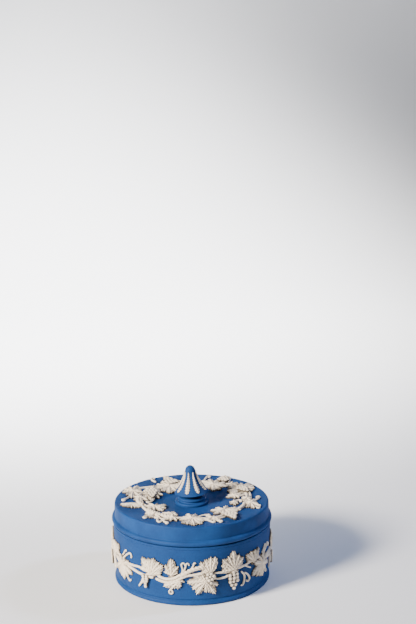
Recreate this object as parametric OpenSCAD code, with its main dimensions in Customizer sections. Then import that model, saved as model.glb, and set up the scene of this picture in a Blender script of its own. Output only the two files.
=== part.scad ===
// Round lidded trinket box in unglazed blue stoneware with white sprigged relief.
// Origin: centre of the foot on the table. +Z up, front towards -Y. Millimetres.
// Angles round the box are measured from the front, positive towards +X.

/* [Body] */
// Largest diameter, across the moulding at the foot of the lid
overall_d = 100; // [84:1:130]
// Height of the body, from the table to the ledge that the lid sits on
body_h = 37.5; // [31:0.5:60]
// Set-in of the wall's outside at the ledge, from the overall radius
rim_set_in = 0.9; // [0.6:0.1:3]
// Set-in of the wall's outside at the foot, from the overall radius
wall_set_in = 2.1; // [1.5:0.1:6]
// Wall thickness just above the floor
wall_t = 3.4; // [2.5:0.1:5]
// Floor thickness
floor_t = 3; // [2:0.1:6]
// Height of the rounded foot moulding
foot_h = 2.8; // [2:0.1:5]
// Width of the ring that stands on the table
foot_ring_w = 4.5; // [3:0.1:8]
// Hollow under the floor, inside the foot ring
foot_recess = 1.5; // [0.8:0.1:3]
// Height of the plain band under the ledge
rim_band_h = 1.4; // [0.8:0.1:3]

/* [Locating collar] */
// Height of the collar that stands up inside the lid
collar_h = 4; // [2.5:0.5:8]
// Thickness of the collar
collar_t = 2; // [1.5:0.1:3]
// Gap between the collar and the inside of the lid's skirt
collar_gap = 0.4; // [0.2:0.05:0.8]

/* [Lid] */
// Height of the lid's outside, from the ledge to its top edge
lid_h = 12.5; // [9:0.5:20]
// Thickness of the lid's top
lid_top_t = 2.8; // [2:0.1:5]
// Set-in of the skirt at its top, from the overall radius
skirt_set_in = 1.9; // [1:0.1:4]
// Radius of the half-round moulding at the foot of the skirt
bead_r = 1.6; // [1:0.1:2.5]
// Thickness of the skirt where it meets the collar
skirt_t = 2.8; // [2:0.1:4]
// Radius of the shoulder between skirt and top
shoulder_r = 1.7; // [1:0.1:3]
// Depth of the dished top below its edge, at the edge of the plain centre
dish_depth = 1; // [0.4:0.1:2]
// Further step down to the plain centre
centre_step = 0.8; // [0.3:0.1:1.5]
// Radius of the plain centre
centre_r = 21.5; // [18:0.5:26]

/* [Knob] */
// Radius of the lower turned ring
ring_r = 10.4; // [8:0.1:14]
// Height of the lower turned ring
ring_h = 1.9; // [1.2:0.1:3]
// Radius of the upper turned ring
upper_ring_r = 8.8; // [7:0.1:12]
// Height of the upper turned ring
upper_ring_h = 1.7; // [1:0.1:3]
// Radius of the neck between rings and cone
neck_r = 5.6; // [4:0.1:7]
// Height of the neck's top above the plain centre
neck_h = 6.2; // [5:0.1:9]
// Radius of the cone's rim
cone_r = 10.6; // [9:0.1:14]
// Height of the cone, from the neck's top to its tip
cone_h = 18.1; // [14:0.1:24]
// Lean of the hand-set cone towards -X, in degrees
cone_lean = 3; // [0:0.5:4]
// Number of white husks round the cone
husk_count = 8; // [6:1:10]
// Length of a husk along the cone's height
husk_h = 12.4; // [8:0.1:14]
// Greatest width of a husk
husk_w = 3.1; // [2:0.1:4]
// Thickness of a husk
husk_t = 0.7; // [0.4:0.1:1]

/* [Relief] */
// How often the wall's garland repeats round the box
repeats = 3; // [3:1:3]
// Length of one moulded run of garland
garland_len = 102; // [90:1:120]
// Height that the wall's garland fills
garland_h = 28; // [22:1:34]
// Diameter of the lid's wreath, along its middle
wreath_d = 68; // [60:1:72]
// How far a leaf stands proud
leaf_t = 1.6; // [1:0.1:2.2]
// How far a stem stands proud
stem_t = 1.9; // [1:0.1:2.4]
// How far a bunch of grapes stands proud
bunch_t = 2.3; // [1.4:0.1:2.6]
// How far a tendril stands proud
tendril_t = 1.2; // [0.8:0.1:1.6]
// Width of a stem
stem_w = 2.2; // [1.6:0.1:3]
// Width of a tendril
tendril_w = 1.1; // [0.8:0.1:1.6]

/* [Hidden] */
BLUE = "#5a8cc4";
BLUE_LID = "#6394c8";
WHITE = "#e8e0d2";
fine = 160;                       // facets shown on a full turn

// Body levels and radii
band_slope = 0.6;                  // height of the slope from the wall to the rim band
bead_sink = 0.6;                   // how far the half-round moulding sits into the skirt
bead_rise = 0.5;                   // height of the moulding's lower edge above the joint
dish_margin = 0.6;                 // level edge between the shoulder and the dish
garland_drop = 1.2;                // how far the garland hangs below the wall's middle
garland_clear = 1.5;               // wall left bare above and below the garland, together
wreath_band_w = 24;                // width of dish that the wreath's sprigs are drawn for
wreath_shift = 0.5;                // how far the wreath's middle sits outside the dish's middle
cone_top_r = 3.2;                  // radius where the rounded tip begins
cone_rim_z = 1;                    // height of the rim above the neck's top
cone_tip_h = 3.6;                  // height of the rounded tip
overall_r = overall_d / 2;
rim_r = overall_r - rim_set_in;                     // outside of the wall at the ledge
wall_foot_r = overall_r - wall_set_in;              // outside of the wall above the foot
wall_z0 = foot_h + 1.4;                             // lowest height of the straight wall
wall_z1 = body_h - rim_band_h - band_slope;                // highest height of the straight wall
floor_z = foot_recess + floor_t;                    // top of the floor
wall_in_r = wall_foot_r - wall_t;                   // inside of the wall above the floor
skirt_in_r = overall_r - bead_r - skirt_t + bead_sink;    // inside of the lid's skirt
collar_out_r = skirt_in_r - collar_gap;
collar_in_r = collar_out_r - collar_t;
collar_top_z = body_h + collar_h;

// Lid levels and radii
lid_z = body_h + lid_h;                             // the lid's top edge
skirt_r = overall_r - skirt_set_in;                 // outside of the skirt at its top
bead_z = body_h + bead_r + bead_rise;                     // height of the moulding's middle
dish_edge_r = skirt_r - shoulder_r - dish_margin;           // where the dish starts
dish_z = lid_z - dish_depth;                        // the dish at the plain centre's edge
centre_z = dish_z - centre_step;                    // the plain centre
lid_under_z = centre_z - lid_top_t;                 // underside of the lid's top
neck_z = centre_z + neck_h;                         // where the cone is set
cone_dome_z = cone_h - cone_tip_h;                  // where the rounded tip begins

// The garland keeps its shape: its pieces grow or shrink together to close round the wall
wall_mid_r = (rim_r + wall_foot_r) / 2;
fit_round = 2 * PI * wall_mid_r / (repeats * garland_len);
fit_high = (wall_z1 - wall_z0 - garland_clear) / garland_h;
side_scale = min(fit_round, fit_high);
garland_z = (wall_z0 + wall_z1) / 2 - garland_drop;          // height of the garland's middle
wreath_scale = min(1, (dish_edge_r - centre_r) / wreath_band_w);
wreath_r = min(wreath_d / 2, (dish_edge_r + centre_r) / 2 + wreath_shift);

// Wall leaves: [angle, height from the garland's middle, tip's turn from up, length, width, lobe depth]
WALL_LEAVES = [
    [-30, 4, -5, 15, 17, 0.3],
    [-14, 6, 5, 13, 9, 0.3],
    [-13, -5, 120, 13, 8, 0.25],
    [12, 7.5, 5, 12, 11, 0.25],
    [8, -4, 165, 15, 17, 0.25],
    [31, 6.5, -8, 16, 16, 0.4],
    [49, 6.5, -60, 12, 9, 0.3],
    [61, -3, 160, 13, 17, 0.3]
];
// Wall bunches: [angle, height from the garland's middle, tip's turn from up, length, width]
WALL_BUNCHES = [
    [-36, -5.5, 200, 10, 6.5],
    [12, -0.5, 150, 8, 5.5],
    [30, -5, 175, 12, 8]
];
// Course of the wall's stem: [angle, height from the garland's middle]
WALL_STEM = [
    [-58, 1], [-47, 0], [-36, -1.5], [-25, -2], [-14, -1], [-4, 1],
    [6, 2], [18, 0], [28, -0.5], [38, 2], [48, 2.5], [58, 1.5]
];
// Wall tendrils: [angle, height from the garland's middle, turn of the first run, length, curl radius, hand]
WALL_TENDRILS = [
    [-58, 3, 62, 10, 2.2, 1],
    [-8, 2, 2, 5, 1.6, -1],
    [-3, 3, 25, 4, 1.5, 1],
    [41, -2, 165, 5, 1.8, -1],
    [-20, -4, 190, 3, 1.4, 1]
];

// Lid leaves: [angle, radius, tip's turn from outward, length, width, lobe depth]
LID_LEAVES = [
    [0, 37, 0, 17, 13, 0.25],
    [46, 29, -120, 17, 13, 0.3],
    [80, 28, 170, 9, 7, 0.25],
    [74, 39, 60, 10, 6, 0.25],
    [117, 37, 30, 18, 14, 0.35],
    [150, 29, 150, 15, 14, 0.3],
    [210, 30, 200, 17, 14, 0.3],
    [235, 31, 160, 13, 12, 0.35],
    [248, 39, 20, 14, 11, 0.35],
    [297, 28, 130, 14, 12, 0.25],
    [285, 38, -10, 13, 7, 0.2],
    [332, 29, 120, 9, 7, 0.3]
];
// Lid bunches: [angle, radius, tip's turn from outward, length, width]
LID_BUNCHES = [
    [38, 39, 20, 11, 7],
    [150, 42, 40, 9, 7],
    [203, 40, -30, 9, 7]
];
// Course of one run of the wreath's stem: [angle, radius from the wreath's middle]
LID_STEM = [[-58, 0], [-45, 1.5], [-32, 0.5], [-18, -1], [-6, 0], [6, 1], [20, 0.5], [34, -1], [48, -0.5], [58, 0]];
// Lid tendrils, one list for each run: [angle, radius from the middle, first run's turn, length, curl radius, hand]
LID_TENDRILS = [
    [[20, 0, 170, 6, 1.6, 1], [15, 2, 20, 5, 1.4, -1], [-22, 2, 10, 6, 1.5, 1]],
    [[-24, 2, 60, 8, 1.4, 1], [50, 2, 30, 6, 1.6, -1]],
    [[26, 2, 10, 7, 1.4, 1], [28, -3, 170, 6, 1.8, -1], [-20, 3, 20, 6, 1.4, 1]]
];

// ---- Outlines -------------------------------------------------------------

// Points of an arc about [x, y], from angle a0 to a1 in n steps
function arc(x, y, r, a0, a1, n) = [for (i = [0:n]) [x + r * cos(a0 + (a1 - a0) * i / n),
                                                     y + r * sin(a0 + (a1 - a0) * i / n)]];

// A vine leaf with its tip up: five lobes, a toothed edge and a notch at the stalk
function leaf_radius(a, lobe) =
    (0.38 + 0.62 * pow(cos(a / 2), 0.6)) * (1 - lobe + lobe * abs(cos(2.77 * a)));
function leaf_outline(length, width, lobe) = [for (i = [0:39])
    let (a = -171 + 9 * i, tooth = i % 2 == 0 ? 0.93 : 1, r = leaf_radius(a, lobe) * tooth)
    [sin(a) * r * width * 0.52, cos(a) * r * length * 0.6 - length * 0.1]];

// A hanging bunch with its tip up: a scalloped drop
function bunch_outline(length, width) = [for (i = [0:35])
    let (a = 10 * i, taper = 1 - 0.35 * cos(a), lump = 0.88 + 0.12 * abs(sin(4.5 * a)))
    [sin(a) * width / 2 * taper * lump, cos(a) * length / 2 * lump]];

// A ribbon of even width along a path of points
function heading(path, i) = let (
    a = path[max(i - 1, 0)],
    b = path[min(i + 1, len(path) - 1)]) (b - a) / norm(b - a);
function side_of(path, i, w) = let (h = heading(path, i)) path[i] + w / 2 * [-h[1], h[0]];
function ribbon(path, w) = concat(
    [for (i = [0:len(path) - 1]) side_of(path, i, w)],
    [for (i = [len(path) - 1:-1:0]) side_of(path, i, -w)]);

// A tendril: a straight run up that ends in a curl of three quarters of a turn
function tendril_path(length, r, hand) = concat(
    [[0, 0], [0, length / 2]],
    [for (i = [0:9]) let (a = 180 - 27 * i, q = r * (1 - 0.03 * i)) [hand * (r + q * cos(a)), length + q * sin(a)]]);

// ---- Placing --------------------------------------------------------------

// Height on the wall for a height measured from the garland's middle
function wall_z(h) = garland_z + h * side_scale;
function lid_r(dr) = wreath_r + dr * wreath_scale;
function lid_leaf_r(r) = wreath_r + (r - 34) * wreath_scale;

// Stands an outline up on the wall at angle a, height z, turned clockwise by turn
module on_wall(a, z, turn) {
    rotate([0, 0, a]) translate([0, -overall_r + 8, z]) rotate([90, 0, 0]) rotate([0, 0, -turn])
        linear_extrude(16) children();
}

// Lays an outline on the lid at angle a and radius r, turned clockwise from outward
module on_lid(a, r, turn) {
    rotate([0, 0, a]) translate([0, -r, dish_z - 3]) rotate([0, 0, 180 - turn])
        linear_extrude(8) children();
}

// The skin of the wall, t thick, from foot to ledge
module wall_skin(t) {
    rotate_extrude($fn = fine) polygon([
        [wall_foot_r, wall_z0], [wall_foot_r + t, wall_z0],
        [rim_r + t, wall_z1], [rim_r, wall_z1]]);
}

// The skin of the lid's dished top, t thick
module lid_skin(t) {
    rotate_extrude($fn = fine) polygon([
        [centre_r, dish_z], [dish_edge_r, lid_z], [dish_edge_r, lid_z + t], [centre_r, dish_z + t]]);
}

// ---- Box body -------------------------------------------------------------

module box_body() {
    foot_r = overall_r - 1.35;                      // the foot moulding's widest
    bulge = foot_h / 2;
    edge = 0.5;                                     // small turned chamfers
    color(BLUE) rotate_extrude($fn = fine) polygon(concat(
        [[0, foot_recess], [foot_r - foot_ring_w - 1, foot_recess], [foot_r - foot_ring_w, 0]],
        arc(foot_r - bulge, bulge, bulge, -90, 70, 8),
        [[wall_foot_r - 0.15, foot_h + 0.5], [wall_foot_r, wall_z0], [rim_r, wall_z1]],
        [[rim_r - 0.2, wall_z1 + 0.3], [rim_r + 0.1, wall_z1 + 0.7]],
        [[rim_r + 0.1, body_h - edge], [rim_r - edge, body_h], [collar_out_r, body_h]],
        [[collar_out_r, collar_top_z - edge], [collar_out_r - edge, collar_top_z]],
        [[collar_in_r + edge, collar_top_z], [collar_in_r, collar_top_z - edge]],
        [[collar_in_r, body_h - 1.5], [wall_in_r, body_h - 4], [wall_in_r, floor_z + 3]],
        arc(wall_in_r - 3, floor_z + 3, 3, 0, -90, 6),
        [[0, floor_z]]));
}

// ---- Lid ------------------------------------------------------------------

module lid() {
    bead_x = overall_r - bead_r;                    // middle of the half-round moulding
    inner_round = 3;
    color(BLUE_LID) rotate_extrude($fn = fine) polygon(concat(
        [[skirt_in_r, body_h], [bead_x - 0.5, body_h], [bead_x, body_h + 0.5]],
        arc(bead_x, bead_z, bead_r, -80, 70, 8),
        [[overall_r - 1.35, bead_z + bead_r + 0.6], [overall_r - 1.6, body_h + lid_h * 0.6]],
        arc(skirt_r - shoulder_r, lid_z - shoulder_r, shoulder_r, 0, 90, 6),
        [[dish_edge_r, lid_z], [centre_r, dish_z], [centre_r - 1, centre_z], [0, centre_z]],
        [[0, lid_under_z], [skirt_in_r - inner_round, lid_under_z]],
        arc(skirt_in_r - inner_round, lid_under_z - inner_round, inner_round, 90, 0, 6)));
}

// ---- Knob -----------------------------------------------------------------

module knob_rings() {
    groove_r = upper_ring_r - 0.7;
    ring_top = centre_z + ring_h;
    upper_z = ring_top + 0.8;
    half = upper_ring_h / 2;
    color(BLUE_LID) rotate_extrude($fn = fine) polygon(concat(
        [[0, centre_z], [ring_r, centre_z]],
        arc(ring_r - ring_h / 2, centre_z + ring_h / 2, ring_h / 2, -45, 90, 6),
        [[groove_r, ring_top + 0.1], [groove_r, upper_z]],
        arc(upper_ring_r - half, upper_z + half, half, -60, 90, 6),
        [[neck_r + 0.8, upper_z + upper_ring_h], [neck_r, neck_z - 1], [neck_r, neck_z], [0, neck_z]]));
}

// Radius of the cone's hollow-curved side at height share s, from 0 at its rim to 1 at the dome
function flare(s) = cone_top_r + (cone_r - cone_top_r) * pow(1 - s, 1.7);
function cone_side(grow) = [for (i = [0:12])
    let (s = i / 12) [flare(s) + grow, cone_rim_z + (cone_dome_z - cone_rim_z) * s]];

module lean() {
    translate([0, 0, neck_z]) rotate([0, -cone_lean, 0]) children();
}

module knob_cone() {
    color(BLUE) intersection() {
        lean() rotate_extrude($fn = fine) polygon(concat(
            [[0, -1.5], [neck_r - 0.2, -1.5], [neck_r - 0.2, 0.1], [cone_r - 0.6, 0.35]],
            cone_side(0),
            [for (i = [1:7]) let (a = 90 * i / 7) [cone_top_r * cos(a), cone_dome_z + (cone_h - cone_dome_z) * sin(a)]]));
        translate([0, 0, neck_z]) cylinder(r = 2 * cone_r, h = 2 * cone_h, $fn = fine);
    }
}

// One husk's outline, root up: a long drop, widest low down
function husk_outline() = concat(
    [for (i = [0:8]) let (a = 180 + 22.5 * i) [husk_w / 2 * cos(a), husk_w / 2 * sin(a)]],
    [[husk_w * 0.3, husk_h * 0.45], [husk_w * 0.14, husk_h - husk_w / 2], [-husk_w * 0.14, husk_h - husk_w / 2],
     [-husk_w * 0.3, husk_h * 0.45]]);

module knob_husks() {
    first = -17;                                    // angle of the husk nearest the front
    color(WHITE) lean() for (i = [0:husk_count - 1])
        intersection() {
            rotate_extrude($fn = fine) polygon(concat(cone_side(0), [for (p = [12:-1:0]) cone_side(husk_t)[p]]));
            rotate([0, 0, first + i * 360 / husk_count]) translate([0, 0, cone_rim_z + husk_w / 2 + 0.4])
                rotate([90, 0, 0]) linear_extrude(2 * cone_r) polygon(husk_outline());
        }
}

// ---- Relief on the wall ---------------------------------------------------

function run_angle(k) = (k - 1) * 360 / repeats;

module wall_leaf_cut(k, i) {
    p = WALL_LEAVES[i - 1];
    on_wall(run_angle(k) + p[0], wall_z(p[1]), p[2])
        polygon(leaf_outline(p[3] * side_scale, p[4] * side_scale, p[5]));
}

module wall_bunch_cut(k, i) {
    p = WALL_BUNCHES[i - 1];
    on_wall(run_angle(k) + p[0], wall_z(p[1]), p[2])
        polygon(bunch_outline(p[3] * side_scale, p[4] * side_scale));
}

// One straight run of the stem, between two points of its course
module wall_stem_cut(k, i) {
    a = WALL_STEM[i];
    b = WALL_STEM[i + 1];
    reach = wall_mid_r * tan((b[0] - a[0]) / 2) + 0.3;
    on_wall(run_angle(k) + (a[0] + b[0]) / 2, wall_z(0), 0)
        polygon(ribbon([[-reach, a[1] * side_scale], [reach, b[1] * side_scale]], stem_w * side_scale));
}

module wall_tendril_cut(k, i) {
    p = WALL_TENDRILS[i - 1];
    on_wall(run_angle(k) + p[0], wall_z(p[1]), p[2])
        polygon(ribbon(tendril_path(p[3] * side_scale, p[4] * side_scale, p[5]), tendril_w));
}

// The stem and tendrils of run k, where they show between the leaves and bunches
module side_stem(k) {
    color(WHITE) difference() {
        union() {
            intersection() {
                wall_skin(stem_t);
                for (i = [0:len(WALL_STEM) - 2]) wall_stem_cut(k, i);
            }
            intersection() {
                wall_skin(tendril_t);
                for (i = [1:len(WALL_TENDRILS)]) wall_tendril_cut(k, i);
            }
        }
        for (i = [1:len(WALL_BUNCHES)]) wall_bunch_cut(k, i);
        for (i = [1:len(WALL_LEAVES)]) wall_leaf_cut(k, i);
        for (i = [len(WALL_LEAVES) - 1:len(WALL_LEAVES)]) wall_leaf_cut(k - 1, i);
    }
}

// True where two pieces of the garland are close enough to touch
function close_on_wall(p, q) = abs(p[0] - q[0]) < 26 && abs(p[1] - q[1]) < 16;

// A leaf, less what the bunches and the leaves set after it cover
module side_leaf(k, i) {
    me = WALL_LEAVES[i - 1];
    color(WHITE) difference() {
        intersection() {
            wall_skin(leaf_t);
            wall_leaf_cut(k, i);
        }
        for (j = [1:len(WALL_BUNCHES)]) if (close_on_wall(me, WALL_BUNCHES[j - 1])) wall_bunch_cut(k, j);
        for (j = [i + 1:1:len(WALL_LEAVES)]) if (close_on_wall(me, WALL_LEAVES[j - 1])) wall_leaf_cut(k, j);
    }
}

module side_grapes(k, i) {
    color(WHITE) intersection() {
        wall_skin(bunch_t);
        wall_bunch_cut(k, i);
    }
}

// ---- Relief on the lid ----------------------------------------------------

module lid_leaf_cut(i) {
    p = LID_LEAVES[i - 1];
    on_lid(p[0], lid_leaf_r(p[1]), p[2])
        polygon(leaf_outline(p[3] * wreath_scale, p[4] * wreath_scale, p[5]));
}

module lid_bunch_cut(i) {
    p = LID_BUNCHES[i - 1];
    on_lid(p[0], lid_leaf_r(p[1]), p[2])
        polygon(bunch_outline(p[3] * wreath_scale, p[4] * wreath_scale));
}

module lid_stem_cut(k) {
    path = [for (p = LID_STEM) let (r = lid_r(p[1])) r * [sin(p[0]), -cos(p[0])]];
    rotate([0, 0, run_angle(k)]) translate([0, 0, dish_z - 3])
        linear_extrude(8) polygon(ribbon(path, stem_w * wreath_scale));
}

module lid_tendril_cut(k, i) {
    p = LID_TENDRILS[k - 1][i - 1];
    on_lid(run_angle(k) + p[0], lid_r(p[1]), p[2])
        polygon(ribbon(tendril_path(p[3] * wreath_scale, p[4] * wreath_scale, p[5]), tendril_w));
}

// Angle between two pieces on the lid, the short way round
function apart(a, b) = abs((a - b + 540) % 360 - 180);

// The stem and tendrils of run k, where they show between the leaves and bunches
module lid_stem(k) {
    color(WHITE) difference() {
        union() {
            intersection() {
                lid_skin(stem_t);
                lid_stem_cut(k);
            }
            intersection() {
                lid_skin(tendril_t);
                for (i = [1:len(LID_TENDRILS[k - 1])]) lid_tendril_cut(k, i);
            }
        }
        for (i = [1:len(LID_BUNCHES)]) if (apart(LID_BUNCHES[i - 1][0], run_angle(k)) < 85) lid_bunch_cut(i);
        for (i = [1:len(LID_LEAVES)]) if (apart(LID_LEAVES[i - 1][0], run_angle(k)) < 85) lid_leaf_cut(i);
    }
}

// A leaf, less what the bunches and the leaves set after it cover
module lid_leaf(i) {
    me = LID_LEAVES[i - 1];
    color(WHITE) difference() {
        intersection() {
            lid_skin(leaf_t);
            lid_leaf_cut(i);
        }
        for (j = [1:len(LID_BUNCHES)]) if (apart(me[0], LID_BUNCHES[j - 1][0]) < 30) lid_bunch_cut(j);
        for (j = [i + 1:1:len(LID_LEAVES)]) if (apart(me[0], LID_LEAVES[j - 1][0]) < 35) lid_leaf_cut(j);
    }
}

module lid_grapes(i) {
    color(WHITE) intersection() {
        lid_skin(bunch_t);
        lid_bunch_cut(i);
    }
}

// ---- Assembly -------------------------------------------------------------

box_body();
lid();
knob_rings();
knob_cone();
knob_husks();
for (k = [1:repeats]) {
    side_stem(k);
    for (i = [1:len(WALL_LEAVES)]) side_leaf(k, i);
    for (i = [1:len(WALL_BUNCHES)]) side_grapes(k, i);
}
for (k = [1:len(LID_TENDRILS)]) lid_stem(k);
for (i = [1:len(LID_LEAVES)]) lid_leaf(i);
for (i = [1:len(LID_BUNCHES)]) lid_grapes(i);
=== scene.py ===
"""Looks of a round lidded trinket box in blue unglazed stoneware with white sprigged vine relief.

The turned pots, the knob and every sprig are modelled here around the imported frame, in metres.
Angles round the box are in degrees from the front (-Y), positive towards +X.
"""

import logging
import math
from dataclasses import dataclass, field
from enum import Enum
from typing import Callable, Sequence

import bpy
import numpy as np
from mathutils import Matrix, Vector


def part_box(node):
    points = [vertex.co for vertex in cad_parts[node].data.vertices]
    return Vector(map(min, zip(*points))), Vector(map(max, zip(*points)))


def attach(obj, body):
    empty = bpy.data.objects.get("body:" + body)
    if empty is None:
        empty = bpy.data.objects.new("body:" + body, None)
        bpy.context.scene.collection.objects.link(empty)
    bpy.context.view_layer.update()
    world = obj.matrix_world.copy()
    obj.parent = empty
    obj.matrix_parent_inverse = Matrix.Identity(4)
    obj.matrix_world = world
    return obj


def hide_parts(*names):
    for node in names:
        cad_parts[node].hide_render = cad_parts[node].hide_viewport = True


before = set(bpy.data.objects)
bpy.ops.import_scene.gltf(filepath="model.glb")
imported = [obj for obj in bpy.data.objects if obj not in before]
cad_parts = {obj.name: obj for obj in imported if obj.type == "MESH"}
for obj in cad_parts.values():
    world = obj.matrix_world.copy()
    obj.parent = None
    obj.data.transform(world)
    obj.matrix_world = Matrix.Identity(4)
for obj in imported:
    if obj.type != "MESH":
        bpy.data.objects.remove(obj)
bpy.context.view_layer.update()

log = logging.getLogger("trinket_box")

MM = 0.001
TAU = 2 * math.pi
BODY = "box"
LID = "lid"

Points = Sequence[tuple[float, ...]]
Piece = bpy.types.Object
Material = bpy.types.Material
Tree = bpy.types.NodeTree
Socket = bpy.types.NodeSocket
Light = bpy.types.Light


# ---- Colours and materials ---------------------------------------------------


def linear(hex_colour: str) -> tuple[float, float, float, float]:
    """Turns an sRGB hex colour to linear light.

    Args:
        hex_colour: Six hex digits, such as "3a6ea5".

    Returns:
        Linear red, green, blue and an alpha of 1.
    """
    parts = [int(hex_colour[i : i + 2], 16) / 255 for i in (0, 2, 4)]
    out = [c / 12.92 if c <= 0.04045 else ((c + 0.055) / 1.055) ** 2.4 for c in parts]
    return out[0], out[1], out[2], 1.0


def add_node(
    tree: Tree, kind: str, settings: dict | None = None, inputs: dict | None = None
) -> bpy.types.Node:
    """Adds a shader node with its settings, its socket values and its links.

    Args:
        tree: The material's node tree.
        kind: The node's type name.
        settings: Node properties by name.
        inputs: Socket values, or the output sockets that feed them, by socket name or number.

    Returns:
        The new node.
    """
    node = tree.nodes.new(kind)
    for key, value in (settings or {}).items():
        setattr(node, key, value)
    for key, value in (inputs or {}).items():
        if isinstance(value, Socket):
            tree.links.new(value, node.inputs[key])
        else:
            node.inputs[key].default_value = value
    return node


def empty_material(name: str) -> Material:
    """Adds a material with nothing in its node tree.

    Args:
        name: The material's name.

    Returns:
        The material.
    """
    mat = bpy.data.materials.new(name)
    mat.use_nodes = True
    mat.node_tree.nodes.clear()
    return mat


def noise(tree: Tree, place: Socket, scale: float, detail: float, roughness: float = 0.5) -> Socket:
    """Adds a noise texture of so many grains to a metre, and gives its value."""
    inputs = {"Vector": place, "Scale": scale, "Detail": detail, "Roughness": roughness}
    return add_node(tree, "ShaderNodeTexNoise", None, inputs).outputs["Fac"]


def bump(tree: Tree, height: Socket, strength: float, depth_mm: float, under: Socket | None = None) -> Socket:
    """Adds a bump.

    Args:
        tree: The material's node tree.
        height: What raises it.
        strength: Its strength.
        depth_mm: Its depth in millimetres.
        under: The normal of a bump below it.

    Returns:
        The bumped normal.
    """
    inputs = {"Strength": strength, "Distance": depth_mm * MM, "Height": height}
    if under:
        inputs["Normal"] = under
    return add_node(tree, "ShaderNodeBump", None, inputs).outputs["Normal"]


def coloured(tree: Tree, value: Socket, stops: Sequence[tuple[float, tuple]]) -> Socket:
    """Colours a value with a ramp.

    Args:
        tree: The material's node tree.
        value: A value from 0 to 1.
        stops: Position and linear colour of each of the ramp's two stops.

    Returns:
        The colour.
    """
    node = add_node(tree, "ShaderNodeValToRGB", None, {"Fac": value})
    for element, (place, colour) in zip(node.color_ramp.elements, stops):
        element.position = place
        element.color = colour
    return node.outputs["Color"]


def close_material(tree: Tree, colour: Socket, roughness: float, specular: float, normal: Socket) -> None:
    """Adds the shader of a dry fired clay and the output.

    Args:
        tree: The material's node tree.
        colour: The clay's colour.
        roughness: Its roughness.
        specular: Strength of its reflection, below 0.5 for a dry, open surface.
        normal: Its bumped normal.
    """
    inputs = {"Base Color": colour, "Roughness": roughness, "IOR": 1.5, "Specular IOR Level": specular}
    shader = add_node(tree, "ShaderNodeBsdfPrincipled", None, {**inputs, "Normal": normal})
    add_node(tree, "ShaderNodeOutputMaterial", None, {"Surface": shader.outputs["BSDF"]})


class Surface(Enum):
    """How a piece of the blue body was finished."""

    TURNED = "turned"  # shaved on the lathe: smooth, with faint rings
    DIPPED = "dipped"  # coated with blue slip: a fine dry grain


@dataclass(frozen=True)
class BlueStoneware:
    """Blue dry-bodied stoneware, unglazed: a matt, slightly waxy blue with a fine grain."""

    surface: Surface
    light: str = "1d447a"
    dark: str = "16335f"
    roughness: float = 0.62
    specular: float = 0.1
    clouds_per_m: float = 70.0  # soft mottling of the fired clay
    grain_mm: float = 0.55  # slip grains are about 0.2 mm; drawn this coarse so that they show
    ring_mm: float = 0.9  # spacing of the turning marks

    def make(self) -> Material:
        """Builds the material.

        Returns:
            A material that reads Object coordinates.
        """
        grainy = self.surface is Surface.DIPPED
        grain_share, ring_strength, grain_strength = (0.75, 0.10, 0.55) if grainy else (0.28, 0.35, 0.18)
        mat = empty_material("blue_stoneware_" + self.surface.value)
        tree = mat.node_tree
        place = add_node(tree, "ShaderNodeTexCoord").outputs["Object"]
        clouds = noise(tree, place, self.clouds_per_m, 3.0)
        grain = noise(tree, place, 1 / (self.grain_mm * MM), 4.0, 0.65)
        inputs = {"Factor": grain_share, "A": clouds, "B": grain}
        mixed = add_node(tree, "ShaderNodeMix", {"data_type": "FLOAT"}, inputs).outputs["Result"]
        colour = coloured(tree, mixed, [(0.34, linear(self.dark)), (0.66, linear(self.light))])
        inputs = {"Vector": place, "Scale": (40.0, 40.0, 1 / (self.ring_mm * MM))}
        flattened = add_node(tree, "ShaderNodeMapping", None, inputs).outputs["Vector"]
        rings = bump(tree, noise(tree, flattened, 1.0, 2.0), ring_strength, 0.06)
        normal = bump(tree, grain, grain_strength, 0.12, rings)
        close_material(tree, colour, self.roughness, self.specular, normal)
        return mat


@dataclass(frozen=True)
class WhiteRelief:
    """White dry-bodied stoneware pressed from moulds: cream and chalky, with shade painted dark on its low
    parts and creases.
    """

    raised: str = "f0e0c8"
    # Painted shade: the dark brown that the sprigs' low parts, edges and creases are painted with, where
    # shadow falls.
    painted_shade: str = "5a5043"
    roughness: float = 0.7
    specular: float = 0.3
    grain_mm: float = 0.5

    def make(self) -> Material:
        """Builds the material.

        Returns:
            A material that reads Object coordinates and the sprigs' "lift" attribute, painting shade where
            the lift is low.
        """
        mat = empty_material("white_stoneware_sprig")
        tree = mat.node_tree
        place = add_node(tree, "ShaderNodeTexCoord").outputs["Object"]
        grain = noise(tree, place, 1 / (self.grain_mm * MM), 3.0, 0.6)
        lift = add_node(tree, "ShaderNodeAttribute", {"attribute_name": "lift"}).outputs["Fac"]
        # Painted shade: the cream darkens to that brown where the lift is low, at edges, in creases and
        # between berries.
        clay = coloured(tree, lift, [(0.1, linear(self.painted_shade)), (0.8, linear(self.raised))])
        specks = coloured(tree, grain, [(0.32, (0.74, 0.74, 0.77, 1)), (0.58, (1, 1, 1, 1))])
        settings = {"data_type": "RGBA", "blend_type": "MULTIPLY"}
        inputs = {"Factor": 1.0, 6: clay, 7: specks}  # 6 and 7 are the colour sockets
        colour = add_node(tree, "ShaderNodeMix", settings, inputs).outputs[2]
        close_material(tree, colour, self.roughness, self.specular, bump(tree, grain, 0.8, 0.14))
        return mat


@dataclass(frozen=True)
class Palette:
    """The box's finishes, each built once."""

    turned: Material
    dipped: Material
    white: Material

    @classmethod
    def build(cls) -> "Palette":
        """Builds every finish."""
        blues = (BlueStoneware(surface).make() for surface in (Surface.TURNED, Surface.DIPPED))
        return cls(*blues, WhiteRelief().make())


# ---- Small modelling helpers ---------------------------------------------------


def clear_selection() -> None:
    """Leaves edit mode and deselects everything."""
    if bpy.context.object and bpy.context.object.mode != "OBJECT":
        bpy.ops.object.mode_set(mode="OBJECT")
    bpy.ops.object.select_all(action="DESELECT")


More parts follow.
